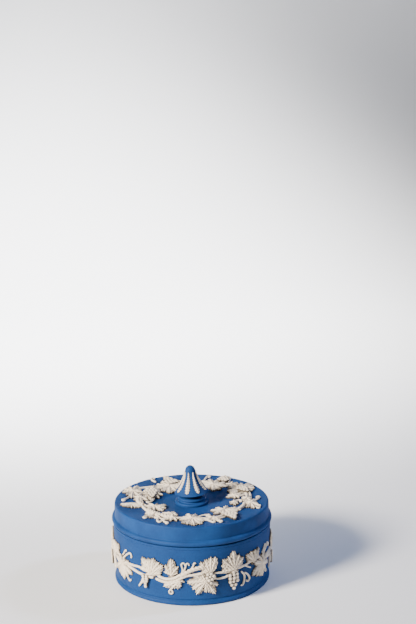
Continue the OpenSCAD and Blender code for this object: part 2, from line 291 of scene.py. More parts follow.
def take(name: str) -> Piece:
    """Names the object that the last operator made.

    Args:
        name: The piece's name.

    Returns:
        The object.
    """
    piece = bpy.context.object
    piece.name = name
    piece.data.name = name
    return piece


def vertex_array(piece: Piece) -> np.ndarray:
    """Reads a mesh's vertex positions.

    Args:
        piece: A mesh object.

    Returns:
        One row of x, y, z for each vertex.
    """
    out = np.empty(len(piece.data.vertices) * 3)
    piece.data.vertices.foreach_get("co", out)
    return out.reshape(-1, 3)


def set_vertices(piece: Piece, places: np.ndarray) -> None:
    """Moves every vertex of a mesh to its row of x, y, z."""
    piece.data.vertices.foreach_set("co", places.astype(np.float32).ravel())
    piece.data.update()


def set_lift(piece: Piece, lift: np.ndarray) -> None:
    """Stores how far each vertex stands above its ground, from 0 to 1, for the relief's material to paint
    shade on the low parts.
    """
    layer = piece.data.attributes.new("lift", "FLOAT", "POINT")
    layer.data.foreach_set("value", np.clip(lift, 0, 1).astype(np.float32))


def finish_mesh(piece: Piece, material: Material, angle: float = 40.0) -> None:
    """Merges seams and poles, turns faces outwards, smooths and dresses a piece.

    Args:
        piece: A mesh object.
        material: Its finish.
        angle: Edges sharper than this many degrees stay sharp.
    """
    clear_selection()
    bpy.context.view_layer.objects.active = piece
    piece.select_set(True)
    bpy.ops.object.mode_set(mode="EDIT")
    bpy.ops.mesh.select_all(action="SELECT")
    bpy.ops.mesh.remove_doubles(threshold=1e-6)
    bpy.ops.mesh.normals_make_consistent(inside=False)
    bpy.ops.object.mode_set(mode="OBJECT")
    bpy.ops.object.shade_smooth_by_angle(angle=math.radians(angle))
    piece.data.materials.clear()
    piece.data.materials.append(material)
    piece.select_set(False)


def rounded(corners: Points, steps: int = 6) -> list[tuple[float, float]]:
    """Rounds the corners of a profile.

    Args:
        corners: Radius, height and corner rounding of each point, all in millimetres.
        steps: Segments in each rounded corner.

    Returns:
        The profile's points, without the rounding column.
    """
    out: list[tuple[float, float]] = []
    for i, (x, z, r) in enumerate(corners):
        if r <= 0 or i in (0, len(corners) - 1):
            out.append((x, z))
            continue
        here = np.array([x, z])
        back = np.array(corners[i - 1][:2]) - here
        on = np.array(corners[i + 1][:2]) - here
        lb, lo = np.linalg.norm(back), np.linalg.norm(on)
        back, on = back / lb, on / lo
        half = math.acos(max(-1, min(1, float(back @ on)))) / 2
        if half > 1.5:
            out.append((x, z))
            continue
        run = min(r / math.tan(half), lb * 0.48, lo * 0.48)
        start, end = here + back * run, here + on * run
        for k in range(steps + 1):
            t = k / steps
            p = (1 - t) ** 2 * start + 2 * t * (1 - t) * here + t * t * end
            out.append((float(p[0]), float(p[1])))
    return out


def arc(x: float, z: float, r: float, start: float, end: float, steps: int) -> list[tuple[float, ...]]:
    """Profile points along an arc about x and z, its angles in degrees from outwards towards up."""
    angles = [math.radians(start + (end - start) * i / steps) for i in range(steps + 1)]
    return [(x + r * math.cos(a), z + r * math.sin(a), 0.0) for a in angles]


def turn_on_wheel(name: str, profile: Points, material: Material, steps: int = 256) -> Piece:
    """Turns a closed pot from its profile, as on a wheel.

    Args:
        name: The piece's name.
        profile: Radius and height of each point in millimetres, from axis to axis.
        material: Its finish.
        steps: Facets round the pot.

    Returns:
        The turned piece.
    """
    clear_selection()
    first = profile[0]
    bpy.ops.mesh.primitive_plane_add(size=MM, location=(first[0] * MM, 0, first[1] * MM))
    piece = take(name)
    bpy.ops.object.transform_apply(location=True, rotation=True, scale=True)
    bpy.ops.object.mode_set(mode="EDIT")
    bpy.ops.mesh.select_mode(type="VERT")
    bpy.ops.mesh.select_all(action="SELECT")
    bpy.ops.mesh.merge(type="CENTER")
    for a, b in zip(profile, profile[1:]):
        step = ((b[0] - a[0]) * MM, 0, (b[1] - a[1]) * MM)
        bpy.ops.mesh.extrude_vertices_move(TRANSFORM_OT_translate={"value": step})
    bpy.ops.mesh.select_all(action="SELECT")
    bpy.ops.mesh.spin(steps=steps, angle=TAU, center=(0, 0, 0), axis=(0, 0, 1))
    bpy.ops.object.mode_set(mode="OBJECT")
    finish_mesh(piece, material, 50.0)
    return piece


# ---- Ground that sprigs are pressed on ------------------------------------------

# A ground takes x to the right, y up and height above it, in millimetres, to a place in millimetres.
Ground = Callable[[np.ndarray, np.ndarray, np.ndarray], np.ndarray]


@dataclass(frozen=True)
class Wall:
    """The body's tapering wall, as the ground for a sprig centred at an angle and a height."""

    angle: float
    height: float
    foot_r: float
    foot_z: float
    rim_r: float
    rim_z: float

    def __call__(self, x: np.ndarray, y: np.ndarray, lift: np.ndarray) -> np.ndarray:
        """Wraps a flat sprig round the wall.

        Args:
            x: Distance to the right along the wall.
            y: Distance up.
            lift: Height above the wall.

        Returns:
            One row of x, y, z in millimetres for each point.
        """
        z = self.height + y
        share = (z - self.foot_z) / (self.rim_z - self.foot_z)
        wall_r = self.foot_r + (self.rim_r - self.foot_r) * share
        turn = math.radians(self.angle) + x / self.rim_r
        r = wall_r + lift
        return np.stack([r * np.sin(turn), -r * np.cos(turn), z], -1)


@dataclass(frozen=True)
class DishedTop:
    """The lid's dished top, as the ground for a sprig whose middle is at a place in plan."""

    right: float
    back: float
    inner_r: float
    inner_z: float
    outer_r: float
    outer_z: float

    def __call__(self, x: np.ndarray, y: np.ndarray, lift: np.ndarray) -> np.ndarray:
        """Lays points on the top.

        Args:
            x: Millimetres right of the sprig's own zero.
            y: Millimetres back from it.
            lift: Height above the ground.

        Returns:
            Rows of x, y, z in millimetres.
        """
        px, py = self.right + np.asarray(x), self.back + np.asarray(y)
        share = (np.hypot(px, py) - self.inner_r) / (self.outer_r - self.inner_r)
        z = self.inner_z + (self.outer_z - self.inner_z) * np.clip(share, 0, 1)
        return np.stack([px, py, z + lift], -1)


# Edges of a sprig sharper than this many degrees stay sharp.
SPRIG_EDGE = 60.0


@dataclass(frozen=True)
class Lobe:
    """One lobe of a leaf, measured from where its stalk joins."""

    turn: float  # degrees clockwise from up
    reach: float  # millimetres to the tip
    spread: float = 32.0  # degrees to either side


def wrap_angle(a: np.ndarray) -> np.ndarray:
    """Brings angles in radians to between minus pi and pi."""
    return (a + math.pi) % TAU - math.pi


def turned(x: np.ndarray, y: np.ndarray, degrees: float) -> tuple[np.ndarray, np.ndarray]:
    """Turns points clockwise about their zero."""
    c, s = math.cos(math.radians(degrees)), math.sin(math.radians(degrees))
    return x * c + y * s, -x * s + y * c


@dataclass(frozen=True)
class PressedBall:
    """A ball of clay in a mould: its skin makes a face, an edge that drops to the ground and a back."""

    piece: Piece
    around: np.ndarray  # direction of each point, in radians clockwise from up
    share: np.ndarray  # 0 at the middle to 1 at the edge, on the face and on the back
    drop: np.ndarray  # 0 on the face to 1 at the foot of the edge
    behind: np.ndarray  # whether a point is on the back

    @classmethod
    def roll(cls, name: str, fine: tuple[int, int], face_end: float, edge_end: float) -> "PressedBall":
        """Rolls the ball.

        Args:
            name: The piece's name.
            fine: Facets round it and from its front to its back.
            face_end: Share of the way to the back where the face ends.
            edge_end: Share of the way where the edge ends.

        Returns:
            The ball, still round.
        """
        clear_selection()
        bpy.ops.mesh.primitive_uv_sphere_add(segments=fine[0], ring_count=fine[1], radius=1.0)
        piece = take(name)
        ball = vertex_array(piece)
        down = np.arccos(np.clip(ball[:, 2], -1, 1)) / math.pi
        behind = down >= edge_end
        share = np.where(down < face_end, down / face_end, 1.0)
        share = np.where(behind, (1 - down) / (1 - edge_end), share)
        drop = np.clip((down - face_end) / (edge_end - face_end), 0, 1)
        return cls(piece, np.arctan2(ball[:, 0], ball[:, 1]), share, drop, behind)

    def lift(self, face: np.ndarray, edge_sink: float, back_sink: float) -> np.ndarray:
        """Height of every point, from its face's height and how far edge and back sink in the ground."""
        return np.where(self.behind, -back_sink, face * (1 - self.drop) - edge_sink * self.drop)


@dataclass(frozen=True)
class Leaf:
    """A vine leaf as its mould makes it: lobed, toothed, ribbed and puffed between its ribs."""

    lobes: tuple[Lobe, ...]
    thick: float = 1.5
    heart: float = 2.6  # least distance from the stalk's joint to the edge
    tooth: float = 1.0  # depth of the teeth
    tooth_pitch: float = 1.6
    rib: float = 0.34
    puff: float = 0.75  # how far the face sinks from rib to rib
    vein: float = 0.42  # depth between side veins, of the notches and height of the ribs
    vein_pitch: float = 2.0
    seed: float = 0.0

    def outline(self, a: np.ndarray) -> np.ndarray:
        """Distance from the stalk's joint to the edge, before the teeth are cut.

        Args:
            a: Directions in radians, clockwise from up.

        Returns:
            The distance in each direction.
        """
        r = np.full_like(a, self.heart)
        for lobe in self.lobes:
            off = np.abs(wrap_angle(a - math.radians(lobe.turn))) / math.radians(lobe.spread)
            body = 1 - 0.22 * off**1.1 - 0.14 * off**3
            r = np.maximum(r, lobe.reach * np.where(off < 1.5, body, 0))
        return r

    def notches(self, a: np.ndarray) -> np.ndarray:
        """Where the teeth are, spaced evenly along the edge.

        Args:
            a: Directions in radians, clockwise from up.

        Returns:
            1 on each tooth, 0 in each notch.
        """
        ring = np.linspace(-math.pi, math.pi, 1441)
        r = self.outline(ring)
        path = np.hypot(np.diff(r * np.sin(ring)), np.diff(r * np.cos(ring)))
        along = np.concatenate([[0], np.cumsum(path)])
        count = np.round(along[-1] / self.tooth_pitch)
        phase = np.interp(wrap_angle(a), ring, along / along[-1] * count * math.pi)
        return 1 - np.abs(np.sin(phase + self.seed)) ** 0.8

    def relief(self, x: np.ndarray, y: np.ndarray, share: np.ndarray, tooth: np.ndarray) -> np.ndarray:
        """Height of the leaf's face.

        Args:
            x: Distance right of the stalk's joint.
            y: Distance up.
            share: Share of the way from joint to edge.
            tooth: 1 in line with a tooth, 0 in line with a notch.

        Returns:
            The height of each point above the ground.
        """
        a = np.arctan2(x, y)
        r = np.hypot(x, y)
        face = np.full_like(x, self.thick)
        best = np.full_like(x, 9.0)
        ribs = np.zeros_like(x)
        side = np.zeros_like(x)
        for lobe in self.lobes:
            off = wrap_angle(a - math.radians(lobe.turn))
            across = r * np.sin(off)
            along = r * np.cos(off)
            ahead = (along > -0.3) & (share < 0.95)
            width = self.rib * (1.15 - 0.5 * share)
            ribs = np.maximum(ribs, np.where(ahead, np.exp(-((across / width) ** 2)), 0))
            nearer = np.abs(off) < best
            wave = 0.5 + 0.5 * np.cos(TAU * (along - 0.9 * np.abs(across)) / self.vein_pitch)
            side = np.where(nearer, wave, side)
            best = np.minimum(best, np.abs(off))
        between = np.clip(best / 0.34, 0, 1)
        face -= self.puff * between**2 * np.clip(share, 0, 1) ** 0.7
        face -= self.vein * side**2 * np.clip(best / 0.12, 0, 1) * np.clip(share * 2.4 - 0.3, 0, 1)
        face += self.vein * ribs * np.clip(1.3 - share, 0.2, 1)
        face -= self.vein * (1 - tooth) * np.clip((share - 0.55) / 0.4, 0, 1)
        # The whole leaf rolls gently, and its clay is a little lumpy.
        face += 0.18 * np.sin(0.42 * x + self.seed) * np.cos(0.37 * y + 2 * self.seed)
        face += 0.2 * np.sin(3.1 * x + 3 * self.seed) * np.cos(2.7 * y + self.seed)
        rim = np.clip((share - 0.86) / 0.14, 0, 1)
        return face * (1 - 0.34 * rim**2)

    def press(
        self, name: str, ground: Ground, turn: float, material: Material, fine: int = 256
    ) -> Piece:
        """Presses a ball of clay into the leaf's mould and lays it on its ground.

        Args:
            name: The piece's name.
            ground: Where the leaf is laid.
            turn: Degrees that the whole leaf is turned clockwise.
            material: Its finish.
            fine: Facets round its edge.

        Returns:
            The leaf.
        """
        ball = PressedBall.roll(name, (fine, 30), 0.76, 0.88)
        tooth = self.notches(ball.around)
        r = (self.outline(ball.around) - self.tooth * (1 - tooth)) * ball.share
        x, y = r * np.sin(ball.around), r * np.cos(ball.around)
        lift = ball.lift(self.relief(x, y, ball.share, tooth), 0.15, 0.25)
        set_vertices(ball.piece, ground(*turned(x, y, turn), lift) * MM)
        # Painted shade: the leaf darkens towards its low edges and in the hollows between its ribs.
        set_lift(ball.piece, (lift - 0.35) / 1.15)
        finish_mesh(ball.piece, material, SPRIG_EDGE)
        return ball.piece


def smooth_path(points: Points, steps: int = 6) -> np.ndarray:
    """Runs a smooth curve through points.

    Args:
        points: Numbers of each point; every column is smoothed alike.
        steps: New points for each given one.

    Returns:
        One row for each point of the curve.
    """
    p = np.array(points, float)
    p = np.vstack([2 * p[0] - p[1], p, 2 * p[-1] - p[-2]])
    rows = []
    for i in range(1, len(p) - 2):
        for k in range(steps):
            t = k / steps
            a, b, c, d = p[i - 1], p[i], p[i + 1], p[i + 2]
            square, cube = 2 * a - 5 * b + 4 * c - d, 3 * b - a - 3 * c + d
            rows.append(0.5 * (2 * b + (c - a) * t + square * t**2 + cube * t**3))
    rows.append(p[-2])
    return np.array(rows)


@dataclass
class Vine:
    """Stems and tendrils of one run of garland, rolled by hand and joined in one piece."""

    name: str
    ground: Ground
    strands: list[np.ndarray] = field(default_factory=list)

    def strand(self, points: Points, thick: float, lift: float, end_thick: float | None = None) -> None:
        """Adds one rolled strand.

        Args:
            points: Right, up of each point of its course, in millimetres on the ground.
            thick: Its radius at its start.
            lift: Height of its middle above the ground.
            end_thick: Its radius at its end; the same if left out.
        """
        path = smooth_path(points)
        radius = np.linspace(thick, thick if end_thick is None else end_thick, len(path))
        place = self.ground(path[:, 0], path[:, 1], np.full(len(path), lift))
        self.strands.append(np.column_stack([place, radius]))

    def rope(self, points: Points, thick: float, lift: float, pitch: float, plies: int = 2) -> None:
        """Adds a twisted strand of several plies.

        Args:
            points: Right, up of each point of its course.
            thick: Radius of the whole rope.
            lift: Height of its middle above the ground.
            pitch: Length of one full twist.
            plies: Number of plies.
        """
        path = smooth_path(points, 10)
        step = np.gradient(path, axis=0)
        step /= np.linalg.norm(step, axis=1)[:, None]
        along = np.concatenate([[0], np.cumsum(np.linalg.norm(np.diff(path, axis=0), axis=1))])
        for ply in range(plies):
            twist = TAU * (along / pitch + ply / plies)
            off = thick * 0.5 * np.cos(twist)
            x = path[:, 0] - step[:, 1] * off
            y = path[:, 1] + step[:, 0] * off
            place = self.ground(x, y, lift + thick * 0.5 * np.sin(twist))
            self.strands.append(np.column_stack([place, np.full(len(path), thick * 0.52)]))

    def curl(self, points: Points, r: float, hand: int, thick: float = 0.5, turn: float = 300.0) -> None:
        """Adds a tendril whose last point runs into a curl.

        Args:
            points: Right, up of each point of its course.
            r: Radius of the curl.
            hand: 1 to curl clockwise, -1 the other way.
            thick: Radius of the tendril.
            turn: Degrees that the curl goes round.
        """
        course = [tuple(map(float, p)) for p in points]
        (x0, y0), (x1, y1) = course[-2], course[-1]
        heading = math.atan2(x1 - x0, y1 - y0)
        cx = x1 + hand * r * math.cos(heading)
        cy = y1 - hand * r * math.sin(heading)
        steps = 9
        for k in range(1, steps + 1):
            a = heading + hand * math.radians(turn * k / steps)
            q = r * (1 - 0.25 * k / steps)
            course.append((cx - hand * q * math.cos(a), cy + hand * q * math.sin(a)))
        self.strand(course, thick, thick * 0.9, thick * 0.85)

    def make(self, material: Material) -> Piece:
        """Rolls every strand into one mesh.

        Args:
            material: Its finish.

        Returns:
            The vine.
        """
        clear_selection()
        curve = bpy.data.curves.new(self.name, "CURVE")
        curve.dimensions = "3D"
        curve.bevel_depth = MM
        curve.bevel_resolution = 3
        curve.use_fill_caps = True
        for rows in self.strands:
            spline = curve.splines.new("POLY")
            spline.points.add(len(rows) - 1)
            ends = rows.copy()
            ends[0, 3] *= 0.6
            ends[-1, 3] *= 0.6
            places = np.column_stack([ends[:, :3] * MM, np.ones(len(rows))])
            spline.points.foreach_set("co", places.astype(np.float32).ravel())
            spline.points.foreach_set("radius", ends[:, 3].astype(np.float32))
        piece = bpy.data.objects.new(self.name, curve)
        bpy.context.scene.collection.objects.link(piece)
        bpy.context.view_layer.objects.active = piece
        piece.select_set(True)
        bpy.ops.object.convert(target="MESH")
        piece = take(self.name)
        set_lift(piece, np.full(len(piece.data.vertices), 0.8))
        finish_mesh(piece, material, SPRIG_EDGE)
        return piece


@dataclass(frozen=True)
class Grapes:
    """A bunch of grapes pressed in one mould: rows of berries, fullest in the middle."""

    length: float
    width: float
    berry: float = 1.25
    lift: float = 1.1
    seed: int = 1
    row_pitch: float = 1.55  # in berries' radii
    berry_pitch: float = 1.75
    segments: int = 20
    rings: int = 12

    def make(self, name: str, ground: Ground, turn: float, material: Material) -> Piece:
        """Sets berries in rows down a hanging drop.

        Args:
            name: The piece's name.
            ground: Where the bunch is laid.
            turn: Degrees that its tip is turned clockwise from up.
            material: Its finish.

        Returns:
            The bunch.
        """
        rng = np.random.default_rng(self.seed)
        rows = max(3, round(self.length / (self.berry * self.row_pitch)))
        spots = []
        for j in range(rows):
            share = j / (rows - 1)
            wide = self.width * (1.0 - 0.72 * share**1.4) * (0.75 if j == 0 else 1)
            count = max(1, round(wide / (self.berry * self.berry_pitch)))
            for i in range(count):
                across = (i - (count - 1) / 2) * self.berry * self.berry_pitch
                along = (share - 0.5) * (self.length - 2 * self.berry)
                crown = 1 - (2 * across / (self.width + 1e-6)) ** 2
                spots.append((across, along, self.lift + 0.35 * crown))
        spots = np.array(spots)
        spots[:, :2] += rng.uniform(-0.16, 0.16, (len(spots), 2)) * self.berry
        x, y = turned(spots[:, 0], spots[:, 1], turn)
        places = ground(x, y, spots[:, 2]) * MM
        sizes = self.berry * rng.uniform(0.86, 1.1, len(spots)) * MM
        fine = {"segments": self.segments, "ring_count": self.rings}
        clear_selection()
        bpy.ops.mesh.primitive_uv_sphere_add(radius=sizes[0], location=places[0], **fine)
        piece = take(name)
        bpy.ops.object.transform_apply(location=True, rotation=True, scale=True)
        bpy.ops.object.mode_set(mode="EDIT")
        for place, size in zip(places[1:], sizes[1:]):
            bpy.ops.mesh.primitive_uv_sphere_add(radius=size, location=place, **fine)
        bpy.ops.object.mode_set(mode="OBJECT")
        corners = self.segments * (self.rings - 1) + 2  # vertices of one berry
        out = np.repeat(ground(x, y, spots[:, 2] + 1.0) - places / MM, corners, axis=0)
        above = np.einsum("ij,ij->i", (vertex_array(piece) - np.repeat(places, corners, axis=0)) / MM, out)
        # Painted shade: each berry darkens towards its underside and into the gaps between berries.
        set_lift(piece, (above / self.berry - 0.2) / 0.65)
        finish_mesh(piece, material, SPRIG_EDGE)
        return piece


# ---- The box's sizes, from the frame ----------------------------------------------


def lowest(node: str) -> float:
    """Lowest height of a CAD node, in millimetres."""
    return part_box(node)[0][2] / MM


def highest(node: str) -> float:
    """Greatest height of a CAD node, in millimetres."""
    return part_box(node)[1][2] / MM


def half_width(node: str) -> float:
    """Half a round CAD node's width, in millimetres."""
    low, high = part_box(node)
    return (high[0] - low[0]) / 2 / MM


@dataclass(frozen=True)
class Sizes:
    """Driving sizes of the turned pieces, in millimetres, read from the frame."""

    overall_r: float
    ledge_z: float
    collar_z: float
    lid_z: float
    centre_z: float
    neck_z: float
    tip_z: float
    ring_r: float
    cone_r: float = 10.6
    wall_foot_r: float = 47.9
    wall_foot_z: float = 4.2
    wall_rim_r: float = 49.1
    wall_rim_z: float = 35.5
    dish_r: float = 45.8
    centre_r: float = 21.5
    dish_drop: float = 1.0

    @classmethod
    def read(cls) -> "Sizes":
        """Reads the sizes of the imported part."""
        return cls(
            overall_r=half_width("lid"),
            ledge_z=lowest("lid"),
            collar_z=highest("box_body"),
            lid_z=highest("lid"),
            centre_z=lowest("knob_rings"),
            neck_z=highest("knob_rings"),
            tip_z=highest("knob_cone"),
            ring_r=half_width("knob_rings"),
        )

    def wall(self, angle: float, height: float) -> Wall:
        """The wall as the ground for a sprig with its own zero at an angle and a height."""
        return Wall(angle, height, self.wall_foot_r, self.wall_foot_z, self.wall_rim_r, self.wall_rim_z)

    def top(self, right: float, back: float) -> DishedTop:
        """The lid's top as the ground for a sprig with its own zero right of and behind the axis."""
        inner_z = self.lid_z - self.dish_drop
        return DishedTop(right, back, self.centre_r, inner_z, self.dish_r, self.lid_z)


# ---- Sub-assemblies ----------------------------------------------------------------


@dataclass
class Pots:
    """The two turned pots: the body and its lid."""

    sizes: Sizes
    palette: Palette
    foot_ring_in: float = 44.1
    foot_ring_out: float = 47.2
    foot_roll: float = 1.5
    foot_groove: tuple[float, float] = (47.35, 3.3)  # radius and height, as for the next two
    skirt_low: tuple[float, float] = (48.15, 41.35)
    skirt_high: tuple[float, float] = (48.3, 45.5)
    recess_z: float = 1.5
    floor_z: float = 4.5
    bowl_r: float = 44.5
    collar_out: float = 45.8
    collar_in: float = 43.8
    skirt_in: float = 46.2
    bead_r: float = 1.6
    lid_thick: float = 2.8

    def body(self) -> Piece:
        """Turns the body: foot moulding, tapering wall, ledge, collar and bowl.

        Returns:
            The body.
        """
        s = self.sizes
        rim = s.overall_r - 0.8
        outside = [
            (0, self.recess_z, 0),
            (self.foot_ring_in - 1, self.recess_z, 0.5),
            (self.foot_ring_in, 0, 0.4),
            *arc(self.foot_ring_out, self.foot_roll, self.foot_roll, -90, 58, 12),
            (*self.foot_groove, 0.35),
            (s.wall_foot_r, s.wall_foot_z + 0.1, 0.5),
            (s.wall_rim_r - 0.02, s.wall_rim_z, 0.1),
            (s.wall_rim_r - 0.22, s.wall_rim_z + 0.25, 0.15),
            (rim, s.wall_rim_z + 0.65, 0.15),
            (rim, s.ledge_z, 0.5),
            (self.collar_out, s.ledge_z, 0.3),
            (self.collar_out, s.collar_z, 0.5),
            (self.collar_in, s.collar_z, 0.5),
            (self.collar_in, s.ledge_z - 1.5, 1.2),
            (self.bowl_r, s.ledge_z - 4, 1.5),
            (self.bowl_r, self.floor_z, 3.2),
            (0, self.floor_z, 0),
        ]
        piece = turn_on_wheel("body_pot", rounded(outside), self.palette.dipped)
        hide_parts("box_body")
        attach(piece, BODY)
        return piece

    def lid(self) -> Piece:
        """Turns the lid: skirt with its half-round moulding, soft shoulder and dished top.

        Returns:
            The lid.
        """
        s = self.sizes
        bead_x = s.overall_r - self.bead_r
        bead_z = s.ledge_z + self.bead_r + 0.5
        under = s.centre_z - self.lid_thick
        outside = [
            (0, under, 0),
            (self.skirt_in, under, 3),
            (self.skirt_in, s.ledge_z, 0.3),
            (bead_x - 0.5, s.ledge_z, 0.2),
            (bead_x - 0.1, s.ledge_z + 0.5, 0),
            *arc(bead_x, bead_z, self.bead_r, -80, 64, 14),
            (*self.skirt_low, 0.5),
            (*self.skirt_high, 3),
            (s.overall_r - 1.9, s.lid_z, 1.9),
            (s.dish_r, s.lid_z, 2),
            (s.centre_r + 1.5, s.lid_z - s.dish_drop, 3.0),
            (s.centre_r - 3.5, s.centre_z, 3.0),
            (0, s.centre_z, 0),
        ]
        piece = turn_on_wheel("lid_pot", rounded(outside, 8), self.palette.turned)
        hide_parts("lid")
        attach(piece, LID)
        return piece

    def build(self) -> list[Piece]:
        """Turns both pots."""
        return [self.body(), self.lid()]


@dataclass
class Knob:
    """The knob: turned rings, a leaning hollow-sided cone and eight white husks."""

    sizes: Sizes
    palette: Palette
    lean: float = 3.0
    husks: int = 8
    first_husk: float = -17.0
    husk_length: float = 12.0
    husk_width: float = 3.1
    husk_thick: float = 0.65
    husk_start: float = 2.3  # height of its lower end above the neck
    husk_bead: float = 1.3  # spacing of the beads along its edges
    rim_z: float = 1.0
    top_r: float = 3.2  # radius where the rounded tip begins
    tip_h: float = 3.6
    waist_r: float = 8.3
    upper_ring_r: float = 8.8
    neck_r: float = 5.6

    def rings(self) -> Piece:
        """Turns the two rings and the neck.

        Returns:
            The rings.
        """
        s = self.sizes
        z = s.centre_z
        profile = [
            (0, z, 0),
            (s.ring_r - 0.3, z, 0),
            *arc(s.ring_r - 0.95, z + 0.95, 0.95, -45, 90, 10),
            (self.waist_r, z + 2.0, 0.4),
            (self.waist_r - 0.2, z + 2.6, 0.3),
            *arc(self.upper_ring_r - 0.85, z + 3.5, 0.85, -60, 90, 10),
            (self.neck_r + 1, z + 4.5, 0.6),
            (self.neck_r, s.neck_z - 0.9, 0.5),
            (self.neck_r, s.neck_z, 0),
            (0, s.neck_z, 0),
        ]
        piece = turn_on_wheel("knob_turned_rings", rounded(profile), self.palette.turned, 160)
        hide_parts("knob_rings")
        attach(piece, LID)
        return piece

    def side_r(self, share: np.ndarray) -> np.ndarray:
        """Radius of the cone's hollow side, from 0 at its rim to 1 where its rounded tip begins."""
        return self.top_r + (self.sizes.cone_r - self.top_r) * (1 - np.clip(share, 0, 1)) ** 1.7

    def set_leaning(self, places: np.ndarray) -> np.ndarray:
        """Leans rows of x, y and height above the neck, in millimetres, over on the neck."""
        x, z = turned(places[:, 0], places[:, 2], -self.lean)
        return np.stack([x, places[:, 1], np.maximum(z, 0) + self.sizes.neck_z], -1)

    @property
    def height(self) -> float:
        """Height of the cone above its neck, in millimetres."""
        return self.sizes.tip_z - self.sizes.neck_z

    @property
    def dome(self) -> float:
        """Height above the neck where the rounded tip begins."""
        return self.height - self.tip_h

    def cone(self) -> Piece:
        """Turns the cone and leans it.

        Returns:
            The cone.
        """
        rises = np.linspace(0, 1, 25)
        side = [(float(self.side_r(t)), self.rim_z + (self.dome - self.rim_z) * t, 0.0) for t in rises]
        tip = [
            (self.top_r * math.cos(a), self.dome + self.tip_h * math.sin(a), 0.0)
            for a in (math.pi / 2 * i / 10 for i in range(1, 11))
        ]
        stub_r = self.neck_r - 0.2
        under = [(0, -0.6, 0), (stub_r, -0.6, 0), (stub_r, 0.15, 0.1), (self.sizes.cone_r - 0.7, 0.3, 0.4)]
        profile = [*under, *side, *tip]
        piece = turn_on_wheel("knob_leaning_cone", rounded(profile), self.palette.dipped, 160)
        set_vertices(piece, self.set_leaning(vertex_array(piece) / MM) * MM)
        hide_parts("knob_cone")
        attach(piece, LID)
        return piece

    def husk(self, number: int) -> Piece:
        """Presses one husk and lays it down the cone's side.

        Args:
            number: Which husk, from 0.

        Returns:
            The husk.
        """
        ball = PressedBall.roll("knob_husk_%d" % (number + 1), (128, 20), 0.7, 0.86)
        a, share = ball.around, ball.share
        along = 0.5 + 0.5 * np.cos(a) * share  # 0 at the rim end, 1 at the tip end
        round_end = np.sqrt(np.clip(1 - (1 - np.clip(along / 0.16, 0, 1)) ** 2, 0, 1))
        wide = round_end * (1 - 0.86 * np.clip((along - 0.22) / 0.78, 0, 1) ** 1.1)
        notch = 0.5 + 0.5 * np.cos(TAU * along * self.husk_length / self.husk_bead)
        beads = 1 - 0.36 * notch
        x = np.sin(a) * share / np.maximum(np.abs(np.sin(a)), 0.35) * self.husk_width / 2 * wide * beads
        face = self.husk_thick * (1 - 0.4 * share**3)
        face += 0.16 * np.exp(-((x / 0.3) ** 2))  # the rib down its middle
        face -= 0.34 * notch * np.clip(np.abs(x) / 0.4, 0, 1)
        lift = ball.lift(face, 0.1, 0.2)
        rise = self.husk_start + along * self.husk_length
        side_share = (rise - self.rim_z) / (self.dome - self.rim_z)
        r = self.side_r(side_share) + lift * 0.9
        turn = math.radians(self.first_husk + number * 360 / self.husks) + x / np.maximum(r, 2.5)
        places = np.stack([r * np.sin(turn), -r * np.cos(turn), rise + lift * 0.35], -1)
        set_vertices(ball.piece, self.set_leaning(places) * MM)
        # Painted shade: the husk darkens towards its low edges and in its notches.
        set_lift(ball.piece, (lift + 0.1) / 0.6)
        finish_mesh(ball.piece, self.palette.white, SPRIG_EDGE)
        return ball.piece

    def build(self) -> list[Piece]:
        """Makes the whole knob.

        Returns:
            The pieces.
        """
        husks = [self.husk(i) for i in range(self.husks)]
        for piece in husks:
            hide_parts("knob_husks")
            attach(piece, LID)
        return [self.rings(), self.cone(), *husks]


@dataclass(frozen=True)
class Sprig:
    """One leaf's mould and where it goes: degrees from the run's middle and height."""

    angle: float
    height: float
    leaf: Leaf
    turn: float = 0.0


def full_leaf(
    *reaches: tuple[float, float], spread: float = 24.0, heart: float = 3.0, seed: float = 0.0
) -> Leaf:
    """A leaf seen face on, from the turn and reach of each lobe; the seed varies its teeth."""
    return Leaf(tuple(Lobe(turn, reach, spread) for turn, reach in reaches), heart=heart, seed=seed)


# Degrees from the run's middle, height, and turn and reach of each lobe, clockwise from up.
WALL_LEAVES = (
    Sprig(-30.0, 18.6, full_leaf((-34, 12), (-10, 10.8), (10, 11.4), (30, 10.8), (48, 11.2), (-64, 8.8),
        (76, 7.4), (-110, 5), heart=3.5, seed=0.4)),
    Sprig(-14.6, 20.0, full_leaf((0, 11), (-32, 8), (34, 7.6), (-66, 5.6), (66, 4.6), heart=2.8, seed=1.1)),
    Sprig(-8.5, 16.6, full_leaf((-113, 12), (-135, 8.6), (-158, 6.6), (-96, 7), (176, 4.4), (-172, 5.6),
        (100, 3), spread=18, heart=2.2, seed=2.3)),
    Sprig(12.4, 20.6, full_leaf((-36, 10.6), (-16, 10.6), (2, 11.2), (19, 11.6), (42, 6.4), (-62, 6.4),
        heart=3, spread=21, seed=3.2)),
    Sprig(9.5, 16.6, full_leaf((-147, 11), (148, 11.6), (-95, 12), (-122, 10.4), (116, 9.4), (-64, 9.4),
        (74, 7.6), (-30, 6.4), (180, 8.6), (165, 9), heart=6, spread=21, seed=4.0)),
    Sprig(30.4, 21.4, full_leaf((-2, 12), (-46, 11), (-66, 9.6), (46, 9.6), (-90, 8.6), (84, 7), (-24, 9.8),
        (22, 10), (64, 8), (140, 6), heart=5, spread=21, seed=5.5)),
    Sprig(49.5, 22.2, full_leaf((-52, 9.6), (-80, 7), (-28, 8), (4, 7.4), (34, 9), (62, 6), heart=3,
        seed=6.1)),
    Sprig(60.0, 18.0, full_leaf((172, 10.4), (110, 11.4), (-118, 12.2), (66, 9), (-76, 9.4), (-144, 10),
        (140, 9.6), (-168, 9.4), (30, 6), (-30, 6), heart=6, spread=21, seed=7.3)),
)


@dataclass(frozen=True)
class Bunch:
    """One bunch's mould and where it goes: degrees from the run's middle and height."""

    angle: float
    height: float
    grapes: Grapes
    turn: float = 180.0


